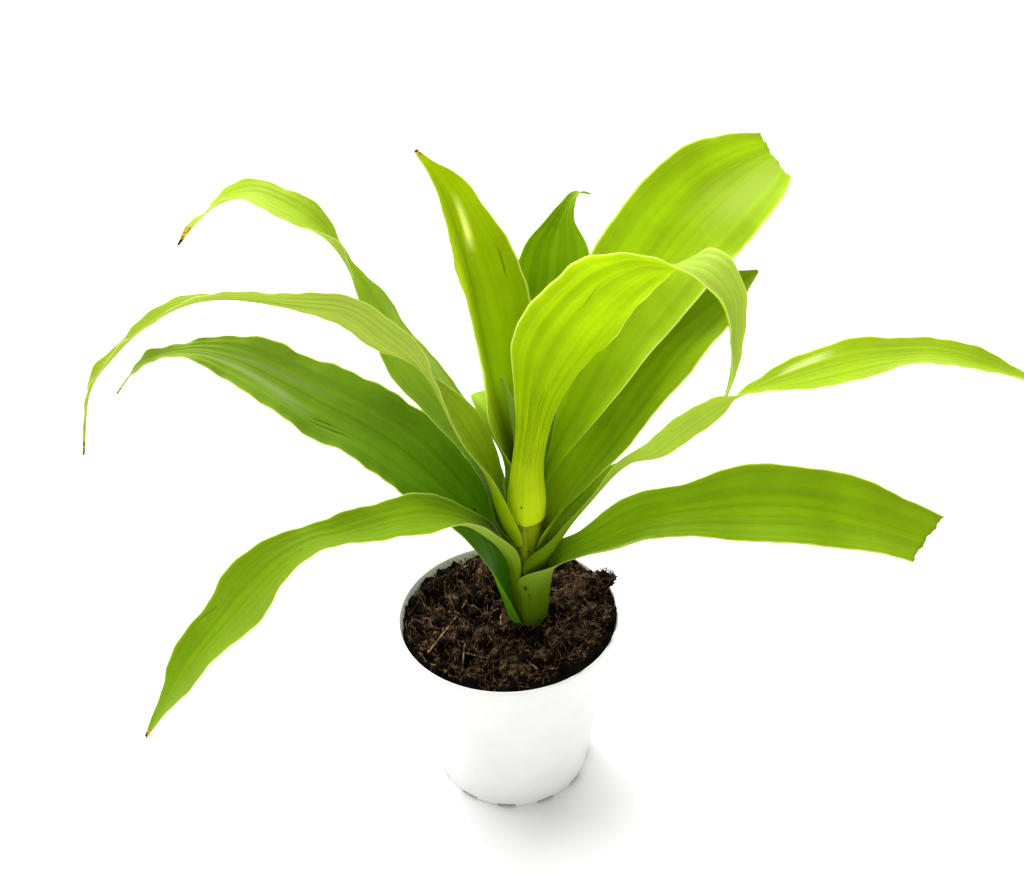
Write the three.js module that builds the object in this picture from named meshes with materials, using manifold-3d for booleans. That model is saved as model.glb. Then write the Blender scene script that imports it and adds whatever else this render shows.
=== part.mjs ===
// A lime-green dracaena in a round white nursery pot: the pot, its peat soil, the stem and every leaf.
// Millimetres, +Z up. The origin is the middle of the pot's flat foot, and the plant's front is towards -Y.
import * as THREE from "three";
import { mergeVertices } from "three/addons/utils/BufferGeometryUtils.js";
import Module from "manifold-3d";

const wasm = await Module();
wasm.setup();

// ---- Driving dimensions ----
const GAP = 0.35; // clear air between pieces that touch

const POT = {
  height: 90,
  rimRadius: 51.2, // outside of the rolled rim
  mouthRadius: 49.8, // inside of the wall at the mouth
  footRadius: 36.5,
  wall: 1.2,
  floor: 1.5,
  rimDrop: 3, // height of the rolled rim
  slots: 12, // drainage slots round the foot
  slotWidth: 8.5,
  slotHeight: 1.9,
  slotDepth: 5, // how far a slot runs in under the soil
  sides: 48,
};

const SOIL = {
  surface: 86, // mean level
  bottom: 2.6,
  heapAzimuth: -15, // the peat is heaped up on this side, and low on the other
  heapRise: 5,
  lump: 1.3, // height of the lumps
  sides: 48, // as many as the pot has, so that their flats line up
  rings: 5,
  clods: 16,
  seed: 11,
};
// Big clods at the rim, as azimuth, distance from the pot's axis, height and size. One leans out over the rim.
const RIM_CLODS = [
  [18, 42, 90.5, 7],
  [18, 48, 95, 5],
  [-10, 40, 90, 6.5],
  [50, 40, 88, 6],
];

const STEM = { x: 10, y: -2, foot: 52, hole: 11.2 };
// Outline of the stem, as radius and height: it thickens to the crown and ends inside the youngest leaves.
const STEM_OUTLINE = [
  [0, 52],
  [4.5, 52],
  [5.1, 74],
  [5.7, 86],
  [6.5, 97],
  [6.9, 110],
  [6.9, 143],
  [5.8, 149],
  [4.6, 155],
  [3.2, 160],
  [1.9, 164],
  [0, 166.5],
];

const LEAF = {
  thickness: 0.8,
  rib: 0.7, // extra thickness along the midrib, at the root
  across: 8, // facets across a blade
  step: 8.5, // length of a facet along a blade
  crease: 0.1, // how steeply the halves fold up from the midrib, where a leaf gives no crease of its own
};

const GREEN = {
  old: "#5f9a0c",
  mid: "#86b810",
  young: "#b4d810",
};

// Every leaf, oldest and lowest first. Heading is the compass of the leaf in degrees, 0 along +X and 90 along +Y.
// Each station along the midrib gives: reach out from the stem's axis, height above the table, drift to the left,
// half the blade's width measured over its surface, roll of the blade (positive lifts its left half), and curl,
// the half angle of the arc that its section follows: 135 clasps the stem, 20 is a shallow gutter.
const LEAVES = [
  {
    name: "leaf_left_broad", heading: 176, colour: GREEN.old, wave: 1.6, waveLength: 42, phase: 0.4,
    stations: [
      [8.4, 88, 0, 11, 0, 75],
      [10.3, 96, 0, 11.4, 0, 60],
      [13.6, 110, 0, 12.8, -6, 54],
      [16.6, 126, 0, 13, -18, 46],
      [25, 147, 0, 14, -28, 34],
      [36, 163, 0, 16, -34, 24],
      [52, 181, 0, 18.5, -35, 22],
      [67, 193, 0, 17.5, -35, 18],
      [83, 203, 0, 16.5, -35, 18],
      [98, 213, 0, 14.5, -35, 18],
      [113, 222, 0, 11, -35, 18],
      [129, 227, 0, 6, -30, 18],
      [146, 225, 0, 3, -20, 20],
      [158, 218, 0, 2.4, 0, 25],
      [167, 208, 0, 0.8, 0, 25],
    ],
  },
  {
    name: "leaf_right_cut", heading: -8, colour: GREEN.mid, wave: 1.4, waveLength: 46, phase: 2, cut: -0.06,
    stations: [
      [7, 86, 0, 13.4, 0, 110],
      [7.8, 95, 0, 15, 0, 110],
      [8.5, 105, 0, 16.3, 0, 110],
      [9.9, 115, 0, 19, 0, 110],
      [12, 121, 0, 15.5, 2, 74],
      [16, 126, 0, 8, 14, 48],
      [24, 131.5, 0, 6.5, 30, 36],
      [34, 138, 0, 8.5, 35, 28],
      [49, 147, 0, 11, 35, 22],
      [71, 153, 0, 12.5, 35, 18],
      [96, 157, 0, 17.5, 35, 14],
      [118, 157, 0, 17, 35, 14],
      [143, 152, 0, 15.5, 33, 14],
      [173, 142, 0, 12, 30, 14],
    ],
  },
  {
    name: "leaf_front_left", heading: 207, colour: GREEN.mid, wave: 1.4, waveLength: 40, phase: 1,
    stations: [
      [7.1, 91, 0, 3.5, 0, 28],
      [7.6, 104, 0, 4, 0, 30],
      [8.2, 116, 0, 5.2, 0, 36],
      [9.4, 124, 0, 6.9, 0, 42],
      [11.6, 130, 0, 9.2, 0, 45],
      [15, 136.5, 0, 10.8, 0, 49],
      [20, 143.5, 0, 10.4, 0, 48],
      [30, 154, 0, 10, 0, 42],
      [45, 162, 0, 11, -10, 30],
      [57, 165, 0, 11, -15, 24],
      [70, 166, 0, 10.5, -15, 24],
      [83, 167, 0, 9, 0, 30],
      [95, 168, 0, 10, 0, 34],
      [108, 163, 0, 13, -10, 30],
      [122, 153, 0, 14, -15, 24],
      [133, 144, 0, 12.5, -15, 24],
      [145, 134, 0, 10, -15, 24],
      [157, 121, 0, 7, -10, 30],
      [172, 103, 0, 0.8, 0, 30],
    ],
  },
  {
    name: "leaf_right_long", heading: -2, colour: GREEN.mid, wave: 0.8, waveLength: 44, phase: 0,
    stations: [
      [7.9, 117.5, 0, 14.5, 0, 105],
      [9.2, 124, 0, 16.4, 0, 102],
      [11.6, 130, 0, 16.4, 0, 82],
      [15.5, 137, 0, 13, 0, 64],
      [21, 146, 0, 10.5, 0, 60],
      [31, 160, 0, 8, 0, 55],
      [42, 172, 0, 6, -36, 40],
      [54, 178, 0, 6.5, -75, 20],
      [68, 190, 0, 6.5, -85, 18],
      [80, 200, 0, 5, -70, 18],
      [88, 205, 0, 4, -32, 20],
      [102, 210, 0, 7, 15, 20],
      [117, 215, 0, 9.5, 25, 18],
      [132, 219, 0, 9.5, 25, 18],
      [147, 221, 0, 8, 20, 22],
      [163, 221, 0, 8, 15, 30],
      [179, 217, 0, 6.5, 15, 30],
      [198, 210, 0, 3.5, 10, 30],
      [208, 204, 0, 0.8, 10, 30],
    ],
  },
  {
    name: "leaf_left_arching", heading: 158, colour: GREEN.old, wave: 1.2, waveLength: 40, phase: 0.3,
    stations: [
      [7.9, 126, 0, 13.1, 0, 95],
      [9.6, 133.5, 0, 13.4, 0, 77],
      [14.6, 146, 0, 10.5, 0, 48],
      [18, 162, 0, 9.5, 0, 44],
      [26, 180, 0, 10, -12, 40],
      [41, 199, 0, 10.5, -25, 34],
      [55, 217, 0, 10, -28, 30],
      [66, 237, 0, 7.5, -15, 34],
      [76, 257, 0, 4.5, 25, 50],
      [86, 268, 0, 6.5, -5, 34],
      [99, 275, 0, 8.5, -12, 24],
      [114, 279, 0, 8.5, -12, 22],
      [130, 274, 0, 6.5, -8, 24],
      [145, 263, 0, 3.5, 0, 25],
      [155, 253, 0, 0.8, 0, 25],
    ],
  },
  {
    name: "leaf_back_right", heading: 22, colour: GREEN.old, wave: 1.6, waveLength: 38, phase: 1.2,
    stations: [
      [7.9, 131.5, 0, 12.1, 0, 88],
      [9.8, 139, 0, 13.6, 0, 76],
      [14, 148.5, 0, 13, 5, 60],
      [20, 158, 0, 13.5, 14, 50],
      [35, 178, 0, 16, 26, 34],
      [53, 202, 0, 18.5, 28, 22],
      [66, 216, 0, 18.5, 28, 20],
      [82, 226, 0, 15, 28, 18],
      [94, 233, 0, 9, 25, 18],
      [108, 239, 0, 0.8, 20, 18],
    ],
  },
  {
    name: "leaf_left_thin", heading: 190, colour: GREEN.mid, wave: 0.6, waveLength: 40, phase: 2.2,
    stations: [
      [8, 134.5, 0, 9.2, 0, 66],
      [10, 142, 0, 11.4, 0, 62],
      [12.6, 152, 0, 11.3, 0, 56],
      [17.4, 174, 0, 11, -16, 52],
      [26, 194, 0, 11, -30, 50],
      [33, 209, 0, 7, -18, 44],
      [38, 220, 0, 4.6, 14, 40],
      [44, 229, 0, 6, 52, 30],
      [54, 239, 0, 8, 75, 20],
      [66, 251, 0, 7, 75, 18],
      [82, 256, 0, 6, 60, 18],
      [105, 262, 0, 5.5, 35, 20],
      [122, 262, 0, 5.5, 10, 20],
      [137, 256, 0, 5, 0, 20],
      [151, 245, 0, 4.5, 0, 20],
      [163, 231, 0, 3.4, 0, 20],
      [171, 205, 0, 0.8, 0, 20],
    ],
  },
  {
    name: "leaf_back_short", heading: 105, colour: GREEN.mid, wave: 1, waveLength: 30, phase: 0,
    stations: [
      [8, 141, 0, 14.7, 0, 105],
      [9.8, 148, 0, 8.6, 0, 49],
      [11, 158, 0, 7, 0, 36],
      [13.8, 171, 1, 6.4, 0, 34],
      [18, 181, 4, 7, 0, 30],
      [24, 188, 8, 7, 0, 26],
      [30, 191, 11, 5, 0, 26],
      [34, 191, 13, 0.8, 0, 26],
    ],
  },
  {
    name: "leaf_front_arching", heading: -35, colour: GREEN.young, wave: 0.8, waveLength: 40, phase: 0.3,
    stations: [
      [4.4, 147, -6.3, 14, -55, 104],
      [4.9, 158, -7, 10.4, -55, 70],
      [6.6, 178, -7.6, 7.4, -52, 50],
      [9.6, 198, -6.2, 8.2, -46, 46],
      [13.5, 214, -5.4, 12.6, -42, 40],
      [20, 230, -3, 20, -40, 32],
      [30, 247, 0, 22, -40, 26],
      [41, 260.5, 3, 21, -36, 22],
      [52, 270, 3, 18.6, -30, 20],
      [63, 274.5, 3, 15.5, -18, 20],
      [74, 274.5, 2.5, 13, -5, 22],
      [83, 267.5, 2, 10, 0, 24],
      [87, 255, 0.5, 4.6, 0, 36],
      [87.5, 242, 0, 2.3, 0, 40],
      [86, 231, 0, 0.8, 0, 40],
    ],
  },
  {
    name: "leaf_upright_cut", heading: 35, colour: GREEN.young, wave: 1.2, waveLength: 52, phase: 0.3, cut: -0.03,
    stations: [
      [6.4, 154, 0, 9, 0, 80],
      [7.4, 161, 0, 6.5, 0, 48],
      [13.6, 174, 0, 10.2, 8, 38],
      [24, 190, 0, 14, 22, 36],
      [36, 206, 1, 18.5, 30, 30],
      [50, 222, 2.5, 22, 30, 24],
      [66, 237, 2.5, 24.5, 30, 20],
      [84, 252, 2.5, 26, 30, 18],
      [104, 264, 2, 25, 30, 15],
      [123, 272, 1, 20, 30, 12],
      [138, 277, 0, 11, 30, 12],
    ],
  },
  {
    name: "leaf_back", heading: 68, colour: GREEN.old, wave: 1.2, waveLength: 40, phase: 0.3,
    stations: [
      [5.5, 160.5, 0, 10.7, 0, 112],
      [7.4, 168.5, 0, 7.8, 0, 60],
      [12, 182, 0, 9.6, 0, 44],
      [19, 205, -1, 11, 0, 30],
      [26, 224, -3, 15, 0, 28],
      [31, 242, -4, 17.5, 0, 26],
      [34.5, 256, -4, 14.5, 0, 24],
      [40, 267, -4, 5, 0, 24],
      [49, 274, -6, 2, 0, 24],
      [56, 272.5, -10, 0.8, 0, 24],
    ],
  },
  {
    name: "leaf_upright_left", heading: 140, colour: GREEN.young, wave: 0.8, waveLength: 40, phase: 0.3,
    crease: 0.55,
    stations: [
      [3.4, 165, 0, 6.3, 0, 106],
      [5.4, 172, 0, 10, 0, 84],
      [9.4, 188, 0.5, 14.4, -3, 58],
      [16, 210, 0.5, 17.2, -4, 46],
      [23, 235, -1.5, 17.2, -5, 34],
      [29, 254, -3, 15.4, -6, 30],
      [33, 269, -2, 12.6, -8, 30],
      [37, 282, -1, 8, -8, 32],
      [43, 292, 0, 3.2, -8, 40],
      [50, 298, 0, 0.8, -8, 40],
    ],
  },
  {
    name: "leaf_young", heading: 195, colour: GREEN.old, wave: 0, waveLength: 40, phase: 0,
    stations: [
      [2.5, 170, 0, 4.7, 0, 108],
      [3.3, 178, 0, 5, 0, 80],
      [4.6, 190, 0, 5.5, 0, 56],
      [6.6, 205, 0, 4, 0, 50],
      [9, 217, 0, 0.8, 0, 50],
    ],
  },
];

// ---- Small tools ----
const radians = THREE.MathUtils.degToRad;

// A closed surface as a solid that can be joined and cut.
function solidOf(geometry) {
  const bare = geometry.clone();
  bare.deleteAttribute("normal");
  bare.deleteAttribute("uv");
  const merged = mergeVertices(bare, 1e-4);
  return new wasm.Manifold(
    new wasm.Mesh({
      numProp: 3,
      vertProperties: merged.attributes.position.array,
      triVerts: new Uint32Array(merged.index.array),
    }),
  );
}

// The surface of a solid, with its faces' normals.
function geometryOf(solid) {
  const mesh = solid.getMesh();
  const geometry = new THREE.BufferGeometry();
  geometry.setAttribute("position", new THREE.BufferAttribute(mesh.vertProperties, 3));
  geometry.setIndex(new THREE.BufferAttribute(mesh.triVerts, 1));
  geometry.computeVertexNormals();
  return geometry;
}

// A turned solid from an outline of [radius, height] points that runs up from the bottom.
function turned(outline, sides) {
  const points = outline.map(([radius, height]) => new THREE.Vector2(radius, height));
  return new THREE.LatheGeometry(points, sides).rotateX(Math.PI / 2);
}

function meshOf(name, geometry, colour, roughness) {
  const material = new THREE.MeshStandardMaterial({ color: colour, roughness, metalness: 0 });
  const mesh = new THREE.Mesh(geometry, material);
  mesh.name = name;
  return mesh;
}

// Numbers between 0 and 1 that are the same on every run.
function seeded(seed) {
  let state = seed;
  return () => {
    state = (state * 1664525 + 1013904223) % 4294967296;
    return state / 4294967296;
  };
}

// ---- Pot ----
function insideRadius(height) {
  const share = height / POT.height;
  return THREE.MathUtils.lerp(POT.footRadius - POT.wall, POT.mouthRadius, share);
}

function potSolid() {
  const { height, rimRadius, footRadius, floor, rimDrop, mouthRadius, wall } = POT;
  const underRim = insideRadius(height - rimDrop) + wall;
  const outline = [
    [0, 0],
    [footRadius, 0],
    [underRim, height - rimDrop],
    [rimRadius, height - rimDrop + 0.5],
    [rimRadius, height - 0.6],
    [rimRadius - 0.6, height],
    [mouthRadius, height],
    [insideRadius(floor), floor],
    [0, floor],
  ];
  let pot = solidOf(turned(outline, POT.sides));
  for (let i = 0; i < POT.slots; i += 1) {
    const slot = new THREE.BoxGeometry(POT.slotDepth * 2, POT.slotWidth, POT.slotHeight * 2);
    slot.translate(POT.footRadius, 0, 0);
    slot.rotateZ(((i + 0.5) / POT.slots) * 2 * Math.PI);
    pot = pot.subtract(solidOf(slot));
  }
  return pot;
}

// ---- Soil ----
// Height of the peat at a place: heaped on one side, lumpy all over.
function soilHeight(x, y) {
  const away = radians(SOIL.heapAzimuth);
  const slope = (x * Math.cos(away) + y * Math.sin(away)) / POT.mouthRadius;
  const lumps =
    Math.sin(x * 0.31 + 1.3) * Math.cos(y * 0.27 - 0.4) + 0.6 * Math.sin(x * 0.13 - y * 0.41);
  return SOIL.surface + SOIL.heapRise * slope + SOIL.lump * lumps;
}

function soilSolid() {
  const top = SOIL.surface;
  const outline = [[0, SOIL.bottom], [insideRadius(SOIL.bottom) - GAP, SOIL.bottom]];
  for (let i = SOIL.rings; i >= 0; i -= 1) {
    outline.push([((insideRadius(top) - GAP) * i) / SOIL.rings, top]);
  }
  const geometry = turned(outline, SOIL.sides);
  const position = geometry.attributes.position;
  for (let i = 0; i < position.count; i += 1) {
    if (position.getZ(i) < top - 1) continue;
    const x = position.getX(i);
    const y = position.getY(i);
    const z = soilHeight(x, y);
    const fit = (insideRadius(z) - GAP) / (insideRadius(top) - GAP); // the wall leans out as it rises
    position.setXYZ(i, x * fit, y * fit, z);
  }
  let soil = solidOf(geometry);
  const random = seeded(SOIL.seed);
  const clods = RIM_CLODS.map(([azimuth, out, height, size]) => [radians(azimuth), out, height, size]);
  for (let i = 0; i < SOIL.clods; i += 1) {
    const out = 15 + 25 * Math.sqrt(random());
    const size = 2.5 + 2 * random();
    const azimuth = i * 2.4;
    const height = soilHeight(out * Math.cos(azimuth), out * Math.sin(azimuth)) + 0.3 * size;
    clods.push([azimuth, out, height, size]);
  }
  for (const [azimuth, out, height, size] of clods) {
    const clod = new THREE.IcosahedronGeometry(size, 1);
    clod.scale(0.9 + 0.4 * random(), 0.9, 0.65 + 0.2 * random());
    clod.rotateZ(6 * random());
    clod.translate(out * Math.cos(azimuth), out * Math.sin(azimuth), height);
    soil = soil.add(solidOf(clod));
  }
  const hole = new THREE.CylinderGeometry(STEM.hole, STEM.hole * 0.7, 60, 24).rotateX(Math.PI / 2);
  hole.translate(STEM.x, STEM.y, STEM.foot - GAP + 30);
  return soil.subtract(solidOf(hole));
}

// ---- Leaves ----
// The two curves that a leaf follows: its midrib in the part's frame, and its half width, roll and curl.
function leafCurves(leaf) {
  const heading = radians(leaf.heading);
  const out = new THREE.Vector3(Math.cos(heading), Math.sin(heading), 0);
  const left = new THREE.Vector3(-Math.sin(heading), Math.cos(heading), 0);
  const midrib = leaf.stations.map(([reach, height, drift]) =>
    new THREE.Vector3(STEM.x, STEM.y, height).addScaledVector(out, reach).addScaledVector(left, drift),
  );
  const section = leaf.stations.map(
    ([, , , half, roll, curl]) => new THREE.Vector3(half, radians(roll), radians(curl)),
  );
  return {
    left,
    midrib: new THREE.CatmullRomCurve3(midrib, false, "catmullrom", 0.5),
    section: new THREE.CatmullRomCurve3(section, false, "catmullrom", 0.5),
  };
}

// The point of a blade at share s of its length and share u of its half width, -1 to 1 from right to left.
function bladePoint(leaf, curves, s, u) {
  const cut = leaf.cut ?? 0;
  const along = THREE.MathUtils.clamp(s * (1 - 0.5 * (Math.abs(cut) + cut * u)), 0, 1);
  const t = curves.midrib.getUtoTmapping(along);
  const point = curves.midrib.getPoint(t);
  const forward = curves.midrib.getTangent(t);
  const { x: half, y: roll, z: curl } = curves.section.getPoint(t);
  const side = curves.left.clone().addScaledVector(forward, -curves.left.dot(forward)).normalize();
  side.applyAxisAngle(forward, roll);
  const normal = forward.clone().cross(side);
  const radius = half / curl;
  const fade = THREE.MathUtils.smoothstep(along, 0.2, 0.4) * THREE.MathUtils.smoothstep(1 - along, 0, 0.12);
  const ripple = (2 * Math.PI * along * curves.midrib.getLength()) / leaf.waveLength + leaf.phase;
  const wave = leaf.wave * fade * u * u * Math.sin(ripple + (u > 0 ? 1.9 : 0));
  const crease = leaf.crease ?? LEAF.crease;
  const lift = radius * (1 - Math.cos(u * curl)) + crease * half * Math.abs(u) * fade + wave;
  return point.addScaledVector(side, radius * Math.sin(u * curl)).addScaledVector(normal, lift);
}

// A thin closed blade: the same grid of triangles above and below, joined round its edge.
function leafGeometry(leaf) {
  const curves = leafCurves(leaf);
  const along = Math.round(curves.midrib.getLength() / LEAF.step);
  const grid = new THREE.PlaneGeometry(2, 1, LEAF.across, along);
  const count = grid.attributes.position.count;
  const points = [];
  for (const face of [0.5, -0.5]) {
    for (let i = 0; i < count; i += 1) {
      const u = grid.attributes.position.getX(i);
      const s = 0.5 - grid.attributes.position.getY(i);
      const nudge = 0.002;
      const here = bladePoint(leaf, curves, s, u);
      const ahead = bladePoint(leaf, curves, Math.min(1, s + nudge), u);
      const behind = bladePoint(leaf, curves, Math.max(0, s - nudge), u);
      const leftward = bladePoint(leaf, curves, s, Math.min(1, u + 0.05));
      const rightward = bladePoint(leaf, curves, s, Math.max(-1, u - 0.05));
      const normal = ahead.sub(behind).cross(leftward.sub(rightward)).normalize();
      const rib = face < 0 && u === 0 ? LEAF.rib * (1 - s) : 0;
      here.addScaledVector(normal, face * LEAF.thickness - rib);
      points.push(here.x, here.y, here.z);
    }
  }
  const upper = Array.from(grid.index.array);
  const faces = [...upper];
  for (let i = 0; i < upper.length; i += 3) {
    faces.push(upper[i] + count, upper[i + 2] + count, upper[i + 1] + count);
  }
  const row = LEAF.across + 1;
  const edge = [];
  for (let i = 0; i < LEAF.across; i += 1) edge.push(i);
  for (let j = 0; j < along; j += 1) edge.push(LEAF.across + j * row);
  for (let i = LEAF.across; i > 0; i -= 1) edge.push(along * row + i);
  for (let j = along; j > 0; j -= 1) edge.push(j * row);
  edge.forEach((a, i) => {
    const b = edge[(i + 1) % edge.length];
    faces.push(a, b, b + count, a, b + count, a + count);
  });
  const geometry = new THREE.BufferGeometry();
  geometry.setAttribute("position", new THREE.Float32BufferAttribute(points, 3));
  geometry.setIndex(faces);
  geometry.computeVertexNormals();
  return geometry;
}

// ---- The whole plant ----
const plant = new THREE.Group();
plant.add(meshOf("pot", geometryOf(potSolid()), "#f2f2ee", 0.35));
plant.add(meshOf("soil", geometryOf(soilSolid()), "#2b1c14", 0.95));
const stem = turned(STEM_OUTLINE, 20).translate(STEM.x, STEM.y, 0);
plant.add(meshOf("stem", stem, "#7d9a22", 0.5));
for (const leaf of LEAVES) {
  plant.add(meshOf(leaf.name, leafGeometry(leaf), leaf.colour, 0.4));
}

export default plant;
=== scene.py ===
"""A young lime-green dracaena in a white nursery pot: its leaves, stem, peat and pot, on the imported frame."""

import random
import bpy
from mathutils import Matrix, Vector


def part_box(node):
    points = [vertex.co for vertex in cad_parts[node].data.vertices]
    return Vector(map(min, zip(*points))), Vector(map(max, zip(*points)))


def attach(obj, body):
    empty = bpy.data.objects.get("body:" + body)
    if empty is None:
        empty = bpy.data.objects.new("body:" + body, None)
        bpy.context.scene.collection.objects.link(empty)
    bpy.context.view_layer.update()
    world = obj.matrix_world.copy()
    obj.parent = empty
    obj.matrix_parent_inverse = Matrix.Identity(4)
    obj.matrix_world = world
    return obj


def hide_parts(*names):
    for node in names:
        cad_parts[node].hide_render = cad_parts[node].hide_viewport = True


bl_info = {
    "name": "Potted dracaena",
    "version": (1, 0, 0),
    "blender": (4, 5, 0),
    "location": "3D View > Sidebar > Plant",
    "description": "Builds a lime-green dracaena in a white nursery pot",
    "category": "Add Mesh",
}

from math import cos, exp, hypot, pi, radians, sin, tau

import bmesh
import bpy
import numpy as np
from bpy.props import FloatProperty, FloatVectorProperty, IntProperty, PointerProperty
from bpy.types import Operator, Panel, PropertyGroup
from mathutils import Matrix, Vector, noise

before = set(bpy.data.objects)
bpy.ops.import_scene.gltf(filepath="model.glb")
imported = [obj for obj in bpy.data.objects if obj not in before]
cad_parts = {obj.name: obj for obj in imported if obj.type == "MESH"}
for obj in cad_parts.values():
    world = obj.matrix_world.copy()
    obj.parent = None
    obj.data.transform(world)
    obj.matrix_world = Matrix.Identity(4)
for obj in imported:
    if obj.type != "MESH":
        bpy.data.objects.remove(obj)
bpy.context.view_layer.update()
MM = 0.001
POT_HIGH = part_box("pot")[1]

# ---- Places and shapes, in millimetres ----
MOUTH = 49.8  # inside of the pot's wall at its mouth

# The stem's axis in the pot, its outline as radius and height, and the rings that shed leaves have left.
STEM_AXIS = (10, -2)
STEM_OUTLINE = [
    (0, 52), (4.5, 52), (5.1, 74), (5.7, 86), (6.5, 97), (6.9, 110),
    (6.9, 143), (5.8, 149), (4.6, 155), (3.2, 160), (1.9, 164), (0, 166.5),
]
SCAR_PITCH, SCAR_HEIGHT = 6.5, 0.08

# Middle of the peat's hollow, and how wide it and the mound round the stem are, as the square of a distance.
HOLLOW_PLACE = (-14, 10)
HOLLOW_SPREAD = 220
MOUND_SPREAD = 150
BANK_RISE = 3.5  # against the wall on the low side
LUMP_RISE = 1.1  # of the broad lumps
# How far from the pot's axis the loose pieces lie, and how far from the stem's axis they stay.
CRUMBS_REACH, CRUMBS_EDGE, CRUMBS_CLEAR = 47, 48, 8
TUFTS_REACH, TUFTS_CLEAR, TUFTS_OFF_HOLLOW = 41, 9, 14
FIBRES_REACH, FIBRES_CLEAR = 46.5, 9
# One long straw lies in front of the hollow: its first point, and the step from each point to the next.
LONG_STRAW = ((-36, -23, 88.5), (3, 5.2, 0.4))

# Big clods at the rim, as azimuth, distance from the pot's axis, height and size. One leans out over the rim.
RIM_CLODS = [
    (18, 42, 90.5, 7),
    (18, 48, 95, 5),
    (-10, 40, 90, 6.5),
    (50, 40, 88, 6),
]

PROUD = 0.2  # from a leaf's stations up to its upper face
WIDE_MARK = 0.04  # half width of a mark, as a share of the blade's width, above which veins show through it

# What a leaf has where LEAVES gives it nothing else. Shares across a blade run from its left margin to its
# right one, and shares along it from the foot of its sheath to its tip.
USUAL_LEAF = {
    "wave": 1.2,  # height of the broad waves at the margins
    "wave_length": 40,
    "phase": 0.3,  # angle at which the waves start
    "frill": 1,  # height of the small waves at the margins, as a multiple of the usual one
    "pleats": 0.1,  # height of the folds along the veins
    "cut": 0,  # share of the length that a slanted cut takes off, from the right half if below zero
    # The pale faces: a painted sheen on the upper face, glare drawn into its colour, and the lower face's own
    # paler colour.
    "sheen_and_pale_underside": (0.0, 0.3),  # how pale the upper and the lower face are
    "clear": 0.3,  # share of the length above which the pale faces and the painted glow at the margin are full
    "rib": 0.08,  # how dark the midrib is
    "glow": 0.4,  # share of the light that passes through
    "withered": 0,  # share of the length that is dead at the tip
    "marks": (),
}
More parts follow.
